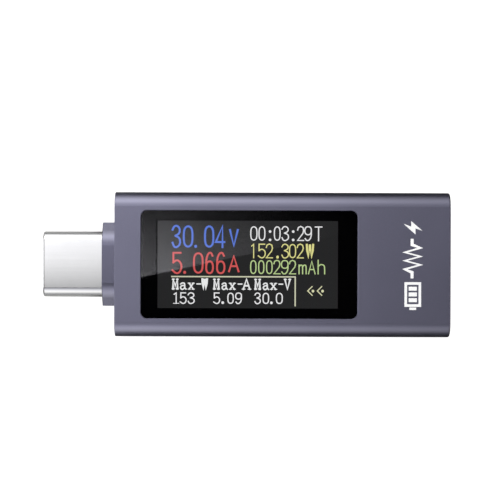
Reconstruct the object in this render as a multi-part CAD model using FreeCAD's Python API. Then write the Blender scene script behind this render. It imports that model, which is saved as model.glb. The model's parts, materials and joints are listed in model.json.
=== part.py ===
# Inline Type-C power meter: a flat metal stick with a plug at one end, a socket at the other
# and a small colour display behind glass on the top face.
#
# Frame: +X runs from the plug to the socket, +Y across the body, +Z out of the display face.
# Origin: centre of the flat back face of the sleeve (the face it rests on). Millimetres.
import FreeCAD, Part
import math
import os

Vector = FreeCAD.Vector
X, Y, Z = 0, 1, 2        # axis numbers
SIDES = (1, -1)

# ------------------------------------------------------------------ driving dimensions
# Names ending in _X, _Y or _Z hold a place, or a (from, to) pair along that axis.
BODY_L = 41.65           # sleeve length
BODY_W = 18.0            # sleeve width
BODY_T = 8.5             # sleeve thickness
BODY_R = 1.8             # long edge radius of the sleeve section
WALL = 1.0               # side walls and floor
ROOF = 1.3               # wall under the display face
END_FILLET = 0.24        # softened edge at the socket end
CONN_Z = 4.25            # connector centre line and middle of the board

COLLAR_L = 1.70          # boss round the plug, beyond the sleeve's end
COLLAR_W = 10.48
COLLAR_H = 5.8
COLLAR_BEVEL = 39.0      # slope of its bevelled sides, degrees
PLUG_W = 8.25            # Type-C plug shell
PLUG_H = 2.40
PLUG_L = 7.58            # bare shell beyond the collar
PLUG_WALL = 0.20
SOCKET_W = 8.94          # Type-C receptacle shell, outside
SOCKET_H = 3.16
SOCKET_WALL = 0.30       # leaves the standard 8.34 x 2.56 opening
SHELL_GAP = 0.16         # total play of each connector shell in its end cap
CONTACT_PITCH = 0.5

LENS_X = (-17.57, 9.29)
LENS_HALF = 6.69
LENS_R = 0.80
LENS_TOP = 8.47
LENS_BOT = 7.82
MASK_BOT = 7.77          # printed black border on the lens's underside
GLUE_BOT = 7.67          # seat of the lens in the sleeve
LENS_GAP = 0.03          # play round the lens
WINDOW_X = (-16.1, 7.6)  # opening through the roof under the lens
WINDOW_HALF = 6.1
ACTIVE_X = (-15.58, 7.00)     # display's active area
ACTIVE_HALF = 5.47

PCB_T = 0.80
PCB_X = (-18.70, 18.85)
PCB_HALF = 7.85

BUTTON_X = 12.40
BUTTON_Z = 5.55
BUTTON_TRAVEL = 0.25
SLOT_L, SLOT_H = 4.40, 1.50
HEAD_L, HEAD_H = 4.24, 1.34

END_X = BODY_L / 2.0
PCB_TOP = CONN_Z + PCB_T / 2.0
PCB_BOT = CONN_Z - PCB_T / 2.0
CAVITY_BOT = WALL
CAVITY_TOP = BODY_T - ROOF
CAVITY_HALF = BODY_W / 2.0 - WALL
FULL_ROUND = 5           # more than half of any connector's height, so the ends come out round

os.makedirs("parts", exist_ok=True)


# ------------------------------------------------------------------ helpers
# Solids take x, y and z as (from, to) pairs in either order.
def grow(span, amount):
    return (span[0] - amount, span[1] + amount)


def around(mid, half):
    return (mid - half, mid + half)


def spread(count, pitch):
    """Evenly spaced places, centred on zero."""
    return [(i - (count - 1) / 2.0) * pitch for i in range(count)]


def from_mid(side, near, far):
    """Span above (side 1) or below (side -1) the connector centre line."""
    return (CONN_Z + side * near, CONN_Z + side * far)


def on_plane(axis, depth, point):
    """3D vector from a point in the two other axes, taken in order, and a depth on this one."""
    coords = list(point)
    coords.insert(axis, depth)
    return Vector(*coords)


def extrude(wire, axis, length):
    return Part.Face(wire).extrude(on_plane(axis, length, (0, 0)))


def box(x, y, z):
    low = [min(span) for span in (x, y, z)]
    sizes = [max(span) - min(span) for span in (x, y, z)]
    return Part.makeBox(*sizes, Vector(*low))


def prism(points, axis, span):
    """Polygon in the two other axes, extruded along this one."""
    corners = [on_plane(axis, span[0], point) for point in points]
    return extrude(Part.makePolygon(corners + [corners[0]]), axis, span[1] - span[0])


def arc(start, middle, end):
    return Part.Arc(start, middle, end).toShape()


def rounded(axis, x, y, z, radius):
    """Block whose four edges along the axis are rounded."""
    spans = [sorted(x), sorted(y), sorted(z)]
    start, end = spans.pop(axis)
    (left, right), (low, high) = spans
    radius = min(radius, (right - left) / 2.0, (high - low) / 2.0)
    nick = radius * (1 - math.sqrt(0.5))     # inset of each arc's middle from its corner
    corners = [
        ((right - radius, low), (right - nick, low + nick), (right, low + radius)),
        ((right, high - radius), (right - nick, high - nick), (right - radius, high)),
        ((left + radius, high), (left + nick, high - nick), (left, high - radius)),
        ((left, low + radius), (left + nick, low + nick), (left + radius, low)),
    ]
    edges = []
    last = corners[-1][2]
    for corner in corners:
        first = corner[0]
        if math.hypot(first[0] - last[0], first[1] - last[1]) > 1e-6:
            edges.append(Part.makeLine(on_plane(axis, start, last), on_plane(axis, start, first)))
        edges.append(arc(*[on_plane(axis, start, point) for point in corner]))
        last = corner[2]
    return extrude(Part.Wire(edges), axis, end - start)


def plate(x, y, z, radius):
    return rounded(Z, x, y, z, radius)


def bar_x(x, width, height, radius=FULL_ROUND, z_mid=CONN_Z):
    """Rounded bar along X, centred on y = 0."""
    return rounded(X, x, around(0, width / 2.0), around(z_mid, height / 2.0), radius)


def edges_at(shape, axis, value, x=(-math.inf, math.inf), y=(-math.inf, math.inf)):
    """Edges lying in the plane axis = value and inside the x and y spans."""
    found = []
    for edge in shape.Edges:
        bounds = edge.BoundBox
        low = (bounds.XMin, bounds.YMin, bounds.ZMin)[axis]
        high = (bounds.XMax, bounds.YMax, bounds.ZMax)[axis]
        in_plane = abs(low - value) < 1e-4 and abs(high - value) < 1e-4
        in_x = bounds.XMin > x[0] and bounds.XMax < x[1]
        in_y = bounds.YMin > y[0] and bounds.YMax < y[1]
        if in_plane and in_x and in_y:
            found.append(edge)
    return found


def fuse(*shapes):
    return shapes[0].multiFuse(list(shapes[1:])).removeSplitter()


def save(name, *shapes):
    solids = [solid for shape in shapes for solid in shape.Solids]
    for solid in solids:
        if not solid.isValid() or solid.Volume <= 0:
            raise RuntimeError("bad solid in " + name)
    piece = solids[0] if len(solids) == 1 else Part.makeCompound(solids)
    piece.exportStep(os.path.join("parts", name + ".step"))


# ------------------------------------------------------------------ enclosure
def rails():
    """Ribs on each side wall that hold the board's long edges, broken for the button."""
    rail_x = grow(PCB_X, 0.05)
    lower_z = (PCB_BOT - 0.55, PCB_BOT - 0.05)
    upper_z = (PCB_TOP + 0.05, PCB_TOP + 0.55)
    broken = [(rail_x[0], BUTTON_X - 3.0), (BUTTON_X + 3.0, rail_x[1])]
    ribs = []
    for side, upper_runs in ((1, [rail_x]), (-1, broken)):
        rail_y = (side * 7.40, side * (CAVITY_HALF + 0.3))
        ribs.append(box(rail_x, rail_y, lower_z))
        ribs += [box(run, rail_y, upper_z) for run in upper_runs]
    return ribs


def body_sleeve():
    """Aluminium extrusion, hollow right through, with a display opening and a button slot."""
    sleeve = bar_x((-END_X, END_X), BODY_W, BODY_T, BODY_R, z_mid=BODY_T / 2.0)
    sleeve = sleeve.makeFillet(END_FILLET, edges_at(sleeve, X, END_X))
    sleeve = sleeve.makeChamfer(0.06, edges_at(sleeve, X, -END_X))
    sleeve = sleeve.cut(bar_x(grow((-END_X, END_X), 1), 2 * CAVITY_HALF,
                              CAVITY_TOP - CAVITY_BOT, 0.8, z_mid=(CAVITY_BOT + CAVITY_TOP) / 2.0))
    sleeve = fuse(sleeve, *rails())

    # Through window, then the wider seat for the lens, with a bright-cut edge.
    sleeve = sleeve.cut(plate(WINDOW_X, around(0, WINDOW_HALF),
                              (CAVITY_TOP - 0.2, BODY_T + 1), 0.4))
    sleeve = sleeve.cut(plate(grow(LENS_X, LENS_GAP), around(0, LENS_HALF + LENS_GAP),
                              (GLUE_BOT, BODY_T + 1), LENS_R + LENS_GAP))
    rim = edges_at(sleeve, Z, BODY_T, x=grow(LENS_X, 0.2), y=around(0, LENS_HALF + 0.2))
    sleeve = sleeve.makeChamfer(0.04, rim)

    slot = rounded(Y, around(BUTTON_X, SLOT_L / 2), (-BODY_W, -CAVITY_HALF + 0.2),
                   around(BUTTON_Z, SLOT_H / 2), SLOT_H / 2)
    sleeve = sleeve.cut(slot)
    lip = edges_at(sleeve, Y, -BODY_W / 2.0, x=around(BUTTON_X, SLOT_L / 2 + 0.1))
    return sleeve.makeChamfer(0.12, lip)


def cap_plate(x):
    """Plate that fills the sleeve's cavity with a little play."""
    return bar_x(x, 2 * CAVITY_HALF - 0.1, CAVITY_TOP - CAVITY_BOT - 0.1, 0.75,
                 z_mid=(CAVITY_BOT + CAVITY_TOP) / 2.0)


def plug_collar(face_x):
    """Boss with a rounded crown, then straight bevels down to short upright sides."""
    radius = COLLAR_H / 2.0
    half_w = COLLAR_W / 2.0
    slope = math.radians(COLLAR_BEVEL)
    crown_y = half_w - radius
    bevel_y = crown_y + radius * math.sin(slope)
    bevel_z = radius * math.cos(slope)
    mid_y = crown_y + radius * math.sin(slope / 2)
    mid_z = radius * math.cos(slope / 2)
    side_z = bevel_z - (half_w - bevel_y) * math.tan(slope)
    # Half of the outline as (y, z); the other half is this one turned by 180 degrees.
    half_outline = [
        (half_w, -side_z), (half_w, side_z),
        (bevel_y, bevel_z), (mid_y, mid_z), (crown_y, radius),
        (-crown_y, radius), (-mid_y, mid_z), (-bevel_y, bevel_z),
        (-half_w, side_z),
    ]
    ring = []
    for side in SIDES:
        points = [Vector(0, side * y, side * z) for y, z in half_outline]
        ring += [
            Part.makeLine(*points[0:2]),
            Part.makeLine(*points[1:3]),
            arc(*points[2:5]),
            Part.makeLine(*points[4:6]),
            arc(*points[5:8]),
            Part.makeLine(*points[7:9]),
        ]
    collar = extrude(Part.Wire(ring), X, COLLAR_L + 0.5)
    collar.translate(Vector(face_x, 0, CONN_Z))
    return collar.makeFillet(0.12, edges_at(collar, X, face_x))


def plug_end_cap():
    """Plate inside the sleeve's mouth with the collar round the plug."""
    face_x = -END_X - COLLAR_L
    cap = fuse(cap_plate((-END_X + 0.05, -END_X + 1.75)), plug_collar(face_x))
    cap = cap.cut(bar_x(around(-END_X, 3), PLUG_W + SHELL_GAP, PLUG_H + SHELL_GAP))
    return cap.makeChamfer(0.08, edges_at(cap, X, face_x))


def socket_end_cap():
    """Moulded plate with a bevelled opening round the receptacle."""
    face_x = END_X - 0.10
    cap = cap_plate((END_X - 1.60, face_x))
    cap = cap.cut(bar_x(around(END_X, 3), SOCKET_W + SHELL_GAP, SOCKET_H + SHELL_GAP))
    opening = edges_at(cap, X, face_x, y=around(0, SOCKET_W / 2 + 0.3))
    cap = cap.makeChamfer(0.28, opening)
    outline = [edge for edge in edges_at(cap, X, face_x)
               if edge.BoundBox.YMax > 6.0 or edge.BoundBox.YMin < -6.0]
    return cap.makeFillet(0.10, outline)


def display_lens():
    """Toughened glass with a softened top edge."""
    lens = plate(LENS_X, around(0, LENS_HALF), (LENS_BOT, LENS_TOP), LENS_R)
    return lens.makeFillet(0.06, edges_at(lens, Z, LENS_TOP))


def lens_black_border():
    """Border printed under the lens, open over the active area."""
    border_z = (MASK_BOT, LENS_BOT)
    margin = 0.12
    border = plate(LENS_X, around(0, LENS_HALF), border_z, LENS_R)
    return border.cut(plate(grow(ACTIVE_X, margin), around(0, ACTIVE_HALF + margin),
                            grow(border_z, 1), 0.05))


def lens_adhesive_frame():
    glue_z = (GLUE_BOT, MASK_BOT)
    inset = 0.1              # from the lens's edge
    overhang = 0.05          # past the window's edge
    frame = plate(grow(LENS_X, -inset), around(0, LENS_HALF - inset), glue_z, LENS_R - inset)
    return frame.cut(plate(grow(WINDOW_X, -overhang), around(0, WINDOW_HALF - overhang),
                           grow(glue_z, 1), 0.4))


save("body_sleeve", body_sleeve())
save("plug_end_cap", plug_end_cap())
save("socket_end_cap", socket_end_cap())
save("display_lens", display_lens())
save("lens_black_border", lens_black_border())
save("lens_adhesive_frame", lens_adhesive_frame())

# ------------------------------------------------------------------ display module
TRAY_BOT = 5.60
GUIDE_BOT = 5.70         # top of the tray's floor
GUIDE_TOP = 6.28
GLASS_BOT = 6.50         # top of the tray, underside of the rear glass
GLASS_MID = 6.75         # joint of the two glasses
GLASS_TOP = 7.00
OPTICS_HALF = 6.05       # light guide and films
GLASS_HALF = 6.60
LAMP_YS = spread(3, 3.6)


def backlight_tray():
    tray = plate((-16.70, 10.20), around(0, 6.65), (TRAY_BOT, GLASS_BOT), 0.3)
    return tray.cut(plate((-16.15, 9.45), around(0, 6.10), (GUIDE_BOT, 7.0), 0.2))


def light_guide():
    """Clear plate with a tapered light inlet facing each lamp."""
    guide = plate((-16.10, 8.30), around(0, OPTICS_HALF), (GUIDE_BOT, GUIDE_TOP), 0.15)
    for y in LAMP_YS:
        inlet = [(8.40, y - 0.55), (8.12, y - 0.35), (8.12, y + 0.35), (8.40, y + 0.55)]
        guide = guide.cut(prism(inlet, Z, (5.0, 7.0)))
    return guide


def backlight_led(y):
    """Lamp block with two end pads on its +X face."""
    front_x, back_x, half = 8.34, 8.95, 0.80
    lamp = box((front_x, back_x), around(y, half), (GUIDE_BOT, 6.26))
    lamp = lamp.makeChamfer(0.06, edges_at(lamp, X, front_x))
    pads = [box((back_x, 9.10), (y + side * half, y + side * 0.45), (GUIDE_BOT, 6.20))
            for side in (-1, 1)]
    return fuse(lamp, *pads)


def diffuser_films():
    """Film stack with a notch in each long edge."""
    films = plate((-16.10, 9.40), around(0, OPTICS_HALF), (GUIDE_TOP, 6.48), 0.15)
    for side in SIDES:
        films = films.cut(box((-12.0, -11.0), around(side * OPTICS_HALF, 0.2), (6, 7)))
    return films


def lcd_glass(x, z, outer_z):
    """One glass of the display, chamfered round the face at outer_z."""
    glass = plate(x, around(0, GLASS_HALF), z, 0.08)
    return glass.makeChamfer(0.04, edges_at(glass, Z, outer_z))


def display_gasket():
    frame = plate((-16.55, 7.76), around(0, 6.58), (GLASS_TOP, CAVITY_TOP), 0.3)
    return frame.cut(plate((-16.12, 7.44), around(0, 6.12), (6, 8), 0.3))


def lcd_driver_chip():
    top = 6.99
    chip_body = box((8.35, 9.20), around(0, 4.60), (GLASS_MID, top))
    return chip_body.makeChamfer(0.05, edges_at(chip_body, Z, top))


def display_flex_cable():
    """Tail that leaves the rear glass's ledge, folds down and back, and has pads on its end."""
    thickness = 0.10
    upper_z, lower_z = 6.80, PCB_TOP + 0.06        # middles of the two runs
    upper_end_x, lower_end_x, fold_x = 9.90, 8.60, 11.30
    half_w = 4.4
    radius = (upper_z - lower_z) / 2.0
    fold_z = (upper_z + lower_z) / 2.0
    outer, inner = radius + thickness / 2, radius - thickness / 2

    def at(x, height):
        return Vector(x, -half_w, fold_z + height)

    flex = extrude(Part.Wire([
        Part.makeLine(at(upper_end_x, outer), at(fold_x, outer)),
        arc(at(fold_x, outer), at(fold_x + outer, 0), at(fold_x, -outer)),
        Part.makeLine(at(fold_x, -outer), at(lower_end_x, -outer)),
        Part.makeLine(at(lower_end_x, -outer), at(lower_end_x, -inner)),
        Part.makeLine(at(lower_end_x, -inner), at(fold_x, -inner)),
        arc(at(fold_x, -inner), at(fold_x + inner, 0), at(fold_x, inner)),
        Part.makeLine(at(fold_x, inner), at(upper_end_x, inner)),
        Part.makeLine(at(upper_end_x, inner), at(upper_end_x, outer)),
    ]), Y, 2 * half_w)
    pad_z = (fold_z - inner, fold_z - inner + 0.05)
    return fuse(flex, *[box((8.75, 9.95), around(y, 0.20), pad_z) for y in spread(12, 0.7)])


save("backlight_tray", backlight_tray())
save("light_guide", light_guide())
save("backlight_leds", *[backlight_led(y) for y in LAMP_YS])
save("diffuser_films", diffuser_films())
save("lcd_rear_glass", lcd_glass((-16.60, 10.50), (GLASS_BOT, GLASS_MID), GLASS_BOT))
save("lcd_front_glass", lcd_glass((-16.60, 7.80), (GLASS_MID, GLASS_TOP), GLASS_TOP))
save("lcd_polariser", plate((-15.98, 7.33), around(0, 5.98), (GLASS_TOP, 7.10), 0.15))
save("display_gasket", display_gasket())
save("lcd_driver_chip", lcd_driver_chip())
save("display_flex_cable", display_flex_cable())
# Two foam strips between the board and the tray.
save("display_foam_tape", *[
    plate((-15.8, 7.8), (side * 4.75, side * 6.35), (PCB_TOP, TRAY_BOT), 0.3) for side in SIDES])

# ------------------------------------------------------------------ circuit board
THROUGH_Z = (0, 9)            # cuts right through the board
PLUG_TAB_Y = (3.93, 4.12)     # plug shell tabs, mirrored
SOCKET_LEG_XS = (15.20, 17.90)
BOARD_HOLES = [               # small round holes, (x, y)
    (-16.2, 5.2), (-16.2, -5.2), (-3.2, 6.3), (4.8, 6.5),
    (11.0, 6.4), (-10.5, -6.6), (0.8, 0.6), (5.5, -6.4),
]


def main_board():
    board = plate(PCB_X, around(0, PCB_HALF), (PCB_BOT, PCB_TOP), 0.5)
    tab_near, tab_far = grow(PLUG_TAB_Y, 0.07)
    tools = [box((12.75, 25), around(0, 4.62), THROUGH_Z)]      # socket cut-out
    for side in SIDES:
        tools.append(box((-19.6, -17.30), (side * tab_near, side * tab_far), THROUGH_Z))
        for x in SOCKET_LEG_XS:
            tools.append(plate(around(x, 0.55), around(side * 5.45, 0.24), THROUGH_Z, 0.24))
    tools += [Part.makeCylinder(0.2, 9, Vector(x, y, 0)) for x, y in BOARD_HOLES]
    return board.cut(tools)


def insulating_film():
    """Film on the sleeve's floor, notched at the plug end."""
    film = plate((-18.4, 18.6), around(0, 7.2), (WALL, WALL + 0.10), 0.8)
    return film.cut(box((-18.7, -17.4), around(0, 2.2), (0, 2)))


def lead_profile(start, end, body_z):
    """Stepped lead, as (distance from the package's middle, z); its foot meets the board."""
    thickness = 0.12
    knee = (start + end) / 2.0 - thickness / 2
    return [
        (start, body_z - thickness / 2), (knee, body_z - thickness / 2),
        (knee, PCB_BOT - thickness), (end, PCB_BOT - thickness),
        (end, PCB_BOT), (knee - thickness, PCB_BOT),
        (knee - thickness, body_z + thickness / 2), (start, body_z + thickness / 2),
    ]


def package(mid, size, leads, pitch, lead_w, reach):
    """Moulded package under the board. leads: how many on each X side, and on each Y side."""
    mid_x, mid_y = mid
    length, width, height = size
    top = PCB_BOT - 0.08
    bottom = top - height
    body = box(around(mid_x, length / 2), around(mid_y, width / 2), (bottom, top))
    body = body.makeChamfer(min(0.12, height * 0.2), edges_at(body, Z, bottom))
    lead_rows = (             # lead count, axis of the row, middle across it and along it, size
        (leads[0], Y, mid_x, mid_y, length),
        (leads[1], X, mid_y, mid_x, width),
    )
    parts = [body]
    for side in SIDES:
        for count, axis, across, along, extent in lead_rows:
            flat = lead_profile(extent / 2 - 0.05, extent / 2 + reach, top - height * 0.5)
            profile = [(across + side * out, z) for out, z in flat]
            for offset in spread(count, pitch):
                parts.append(prism(profile, axis, around(along + offset, lead_w / 2)))
    # Round mark sunk in the lower face, near one corner.
    mark = Vector(mid_x - length / 2 + length * 0.17, mid_y - width / 2 + width * 0.17, bottom)
    return fuse(*parts).cut(Part.makeCylinder(min(0.35, length * 0.09), 0.06, mark))


def chip(mid, size, axis=X, cap=None):
    """Two-terminal part under the board, its end caps a little larger than its body."""
    length, width, height = size
    cap = cap or length * 0.2
    inset = 0.02
    start, end = around(mid[axis], length / 2)
    chip_z = (PCB_BOT - height, PCB_BOT)

    def block(along, shrink=0.0):
        across = around(mid[1 - axis], width / 2 - shrink)
        spans = (along, across) if axis == X else (across, along)
        return box(*spans, grow(chip_z, -shrink))

    body = block((start + cap, end - cap), shrink=inset)
    first = block((start, start + cap))
    last = block((end - cap, end))
    first = first.makeFillet(0.04, edges_at(first, axis, start))
    last = last.makeFillet(0.04, edges_at(last, axis, end))
    return fuse(first, body, last)


def power_choke():
    """Block with bevelled corners on two foot plates."""
    mid_x, mid_y, half = 9.6, 2.6, 2.0
    bottom = PCB_BOT - 1.85
    choke = box(around(mid_x, half), around(mid_y, half), (bottom, PCB_BOT - 0.08))
    upright = [edge for edge in choke.Edges if edge.BoundBox.ZMax - edge.BoundBox.ZMin > 1.0]
    choke = choke.makeChamfer(0.45, upright)
    choke = choke.makeFillet(0.12, edges_at(choke, Z, bottom))
    feet = [box(around(mid_x + offset, 0.5), around(mid_y, 1.2), (PCB_BOT - 0.10, PCB_BOT))
            for offset in (-1.35, 1.35)]
    return fuse(choke, *feet)


def crystal():
    """Rounded can on a thin base."""
    can_x, can_y = (-16.1, -12.9), (1.9, 4.4)
    bottom = PCB_BOT - 0.70
    can = plate(can_x, can_y, (bottom, PCB_BOT - 0.12), 0.3)
    can = can.makeFillet(0.08, edges_at(can, Z, bottom))
    return fuse(can, plate(can_x, can_y, (PCB_BOT - 0.14, PCB_BOT), 0.1))


def surge_diode():
    mid_x, mid_y = -14.5, -3.8
    bottom = PCB_BOT - 1.05
    body = box(around(mid_x, 1.35), around(mid_y, 0.8), (bottom, PCB_BOT - 0.06))
    body = body.makeChamfer(0.10, edges_at(body, Z, bottom))
    feet = [box((mid_x + side * 1.2, mid_x + side * 1.85), around(mid_y, 0.3),
                (PCB_BOT - 0.14, PCB_BOT)) for side in (-1, 1)]
    return fuse(body, *feet)


# Chip parts: x, y, long axis.
SMALL_CAPS = [
    (-13.0, -1.2, Y), (-1.4, 3.2, Y), (-0.2, 3.2, Y),
    (-1.4, -5.4, X), (6.0, 2.2, Y), (6.0, 5.0, Y),
]
LARGE_CAPS = [(12.0, -6.0, X), (7.3, -6.4, X), (12.9, 6.2, X), (9.5, 6.3, X)]
RESISTORS = [
    (-10.0, 6.3, X), (-7.6, 6.3, X), (-5.2, 6.3, X),
    (-10.0, -6.0, X), (-7.6, -6.0, X), (-5.2, -6.0, X),
    (0.6, 6.4, Y), (5.2, -6.2, X), (2.6, -5.6, X), (-15.6, -0.6, Y),
]


def chips(places, size, cap=None):
    return [chip((x, y), size, axis, cap) for x, y, axis in places]


save("main_board", main_board())
save("insulating_film", insulating_film())
save("microcontroller", package(mid=(-7.6, 0.0), size=(7.0, 7.0, 1.40), leads=(8, 8),
                                pitch=0.8, lead_w=0.35, reach=1.0))
save("current_sense_amp", package(mid=(2.6, 4.2), size=(3.0, 3.0, 0.90), leads=(0, 5),
                                  pitch=0.5, lead_w=0.22, reach=0.9))
save("voltage_regulator", package(mid=(9.6, -3.8), size=(1.6, 2.9, 1.05), leads=(3, 0),
                                  pitch=0.95, lead_w=0.40, reach=0.6))
save("current_shunt", chip(mid=(3.0, -2.4), size=(6.4, 3.2, 0.85), cap=1.2))
save("power_choke", power_choke())
save("crystal", crystal())
save("surge_diode", surge_diode())
save("ceramic_capacitors", *chips(SMALL_CAPS, size=(1.6, 0.8, 0.8)),
     *chips(LARGE_CAPS, size=(2.0, 1.25, 1.1)))
save("chip_resistors", *chips(RESISTORS, size=(1.6, 0.8, 0.45), cap=0.28))

# ------------------------------------------------------------------ button and its switch
SWITCH_HALF = 1.7
SWITCH_X = around(BUTTON_X, SWITCH_HALF)
SWITCH_FRONT, SWITCH_BACK = -6.55, -4.75       # Y of the faces towards and away from the button
SWITCH_TOP = PCB_TOP + 1.75
PLUNGER_BACK = SWITCH_FRONT + 0.95


def function_button():
    """Head in the sleeve's slot, flange behind the wall and a small boss facing the switch."""
    face_y = -BODY_W / 2 + 0.10
    head = rounded(Y, around(BUTTON_X, HEAD_L / 2), (face_y, -CAVITY_HALF + 0.05),
                   around(BUTTON_Z, HEAD_H / 2), HEAD_H / 2)
    head = head.makeFillet(0.15, edges_at(head, Y, face_y))
    flange = rounded(Y, around(BUTTON_X, 2.7), (-CAVITY_HALF + 0.03, -CAVITY_HALF + 0.53),
                     (PCB_TOP + 0.08, 6.50), 0.3)
    boss = rounded(Y, around(BUTTON_X, 0.8), (-CAVITY_HALF + 0.50, -CAVITY_HALF + 0.75),
                   around(BUTTON_Z, 0.40), 0.15)
    return fuse(head, flange, boss)


def switch_base():
    base = box(SWITCH_X, (SWITCH_FRONT, SWITCH_BACK), (PCB_TOP, SWITCH_TOP))
    return base.cut(box(grow(SWITCH_X, -0.45), (SWITCH_FRONT - 1, SWITCH_BACK - 0.425),
                        (PCB_TOP + 0.30, SWITCH_TOP - 0.28)))


def switch_cover():
    """Front sheet with a hole for the plunger, and a sheet over the base's top."""
    cover_x = grow(SWITCH_X, 0.08)
    sheet_top = SWITCH_TOP + 0.10
    cover = box(cover_x, (SWITCH_FRONT - 0.15, SWITCH_FRONT), (PCB_TOP + 0.12, sheet_top))
    cover = cover.cut(box(around(BUTTON_X, 0.70), around(SWITCH_FRONT, 1),
                          around(BUTTON_Z, 0.36)))
    return fuse(cover, box(cover_x, (SWITCH_FRONT - 0.02, SWITCH_BACK - 0.3),
                           (SWITCH_TOP, sheet_top)))


def switch_plunger():
    tip_y = -7.23
    stem = box(around(BUTTON_X, 0.62), (tip_y, SWITCH_FRONT + 0.40), around(BUTTON_Z, 0.28))
    stem = stem.makeFillet(0.08, edges_at(stem, Y, tip_y))
    foot = box(around(BUTTON_X, 1.10), (SWITCH_FRONT + 0.03, PLUNGER_BACK),
               around(BUTTON_Z, 0.48))
    return fuse(stem, foot)


def switch_dome():
    """Shallow disc at the height it has when the plunger is fully in."""
    radius, thickness = 1.6, 0.08
    crest = PLUNGER_BACK + BUTTON_TRAVEL + 0.02
    centre = Vector(BUTTON_X, crest + radius, BUTTON_Z)
    disc = Part.makeCylinder(0.46, 1.0, Vector(BUTTON_X, crest - 0.2, BUTTON_Z), Vector(0, 1, 0))
    dome = disc.common(Part.makeSphere(radius, centre))
    return dome.cut(Part.makeSphere(radius - thickness, centre))


def switch_terminal(side, y):
    """L-shaped terminal: a foot on the board and an upright against the base."""
    inner_x = BUTTON_X + side * SWITCH_HALF
    foot = box((inner_x, BUTTON_X + side * 2.15), around(y, 0.2), (PCB_TOP, PCB_TOP + 0.12))
    return fuse(foot, box((inner_x, inner_x + side * 0.12), around(y, 0.2),
                          (PCB_TOP, PCB_TOP + 0.55)))


save("function_button", function_button())
save("switch_base", switch_base())
save("switch_cover", switch_cover())
save("switch_plunger", switch_plunger())
save("switch_dome", switch_dome())
save("switch_terminals", *[switch_terminal(side, y) for side in SIDES for y in (-6.2, -5.15)])

# ------------------------------------------------------------------ Type-C plug
NOSE_X = -END_X - COLLAR_L - PLUG_L
CONTACT_YS = spread(12, CONTACT_PITCH)
PIVOT_X, PIVOT_Y, PIVOT_R = -21.55, 3.51, 0.28      # round root of each latch
PLUG_BEAM = [            # contact's middle line: x, distance from the centre line
    (-17.40, 0.48), (-19.3, 0.48), (-23.5, 0.48), (NOSE_X + 2.54, 0.54),
    (NOSE_X + 1.74, 0.36), (NOSE_X + 1.49, 0.36), (NOSE_X + 0.89, 0.58),
]


def plug_shell():
    """Hollow shell with a narrower mouth and two tabs for the board."""
    shell = bar_x((NOSE_X, -19.05), PLUG_W, PLUG_H)
    shell = shell.makeFillet(0.28, edges_at(shell, X, NOSE_X))
    shell = shell.cut([
        bar_x((NOSE_X + 0.32, -10), PLUG_W - 2 * PLUG_WALL, PLUG_H - 2 * PLUG_WALL),
        bar_x(around(NOSE_X, 1), PLUG_W - 0.95, PLUG_H - 0.95),
    ])
    near, far = PLUG_TAB_Y
    tabs = [box((-19.40, -17.45), (side * near, side * far), around(CONN_Z, 0.60))
            for side in SIDES]
    return fuse(shell, *tabs)


def plug_insulator():
    """Moulding with a mouth, contact grooves and channels, and pockets for the latches."""
    front_x, mouth_end_x = NOSE_X + 0.36, -23.50
    tools = [box((front_x - 1, mouth_end_x), around(0, 3.42), around(CONN_Z, 0.42))]
    for y in CONTACT_YS:
        for side in SIDES:
            tools.append(box((front_x + 0.30, mouth_end_x), around(y, 0.14),
                             from_mid(side, 0.30, 0.72)))
            tools.append(box((-23.60, -19.0), around(y, 0.13), from_mid(side, 0.40, 0.56)))
    pocket_half = 0.36
    for side in SIDES:
        tools.append(box((front_x + 0.35, -21.50), (side * 2.98, side * 5.0),
                         around(CONN_Z, pocket_half)))
        tools.append(Part.makeCylinder(PIVOT_R + 0.03, 2 * pocket_half,
                                       Vector(PIVOT_X, side * PIVOT_Y, CONN_Z - pocket_half)))
    return bar_x((front_x, -20.20), 7.80, 1.95).cut(tools)


def contact_row(line, thickness, width, side):
    """Bent strips along a middle line, above (side 1) or below (side -1) the centre line."""
    upper = [(x, CONN_Z + side * (z + thickness / 2)) for x, z in line]
    lower = [(x, CONN_Z + side * (z - thickness / 2)) for x, z in line]
    return [prism(upper + lower[::-1], Y, around(y, width / 2)) for y in CONTACT_YS]


def plug_latch(side):
    """Side arm with an inward hook, on a round root."""
    inner, outer = PIVOT_Y - 0.09, PIVOT_Y + 0.09
    half_h = 0.28
    outline = [          # x, distance from the plug's middle
        (PIVOT_X, inner), (NOSE_X + 1.69, inner), (NOSE_X + 1.39, inner - 0.34),
        (NOSE_X + 1.24, inner - 0.34), (NOSE_X + 0.99, inner + 0.02),
        (NOSE_X + 0.99, outer), (PIVOT_X, outer),
    ]
    arm = prism([(x, side * y) for x, y in outline], Z, around(CONN_Z, half_h))
    root = Vector(PIVOT_X, side * PIVOT_Y, CONN_Z - half_h)
    return fuse(arm, Part.makeCylinder(PIVOT_R, 2 * half_h, root))


save("plug_shell", plug_shell())
save("plug_insulator", plug_insulator())
save("plug_contacts_upper", *contact_row(PLUG_BEAM, thickness=0.12, width=0.20, side=1))
save("plug_contacts_lower", *contact_row(PLUG_BEAM, thickness=0.12, width=0.20, side=-1))
save("plug_latch_left", plug_latch(1))
save("plug_latch_right", plug_latch(-1))

# ------------------------------------------------------------------ Type-C receptacle
SHELL_X = (12.95, END_X - 0.30)
OPENING_W = SOCKET_W - 2 * SOCKET_WALL
OPENING_H = SOCKET_H - 2 * SOCKET_WALL
ROOT_X, TIP_X = 15.00, 19.80             # ends of the tongue
TONGUE_HALF = 3.345
MID_PLATE_X = (ROOT_X + 0.2, TIP_X - 0.35)
MID_PLATE_Z = around(CONN_Z, 0.075)
SOCKET_STRIP = [         # contact's middle line: x, distance from the centre line
    (11.70, 0.46), (12.55, 0.46), (12.80, 0.36), (TIP_X - 0.35, 0.36),
]


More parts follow.
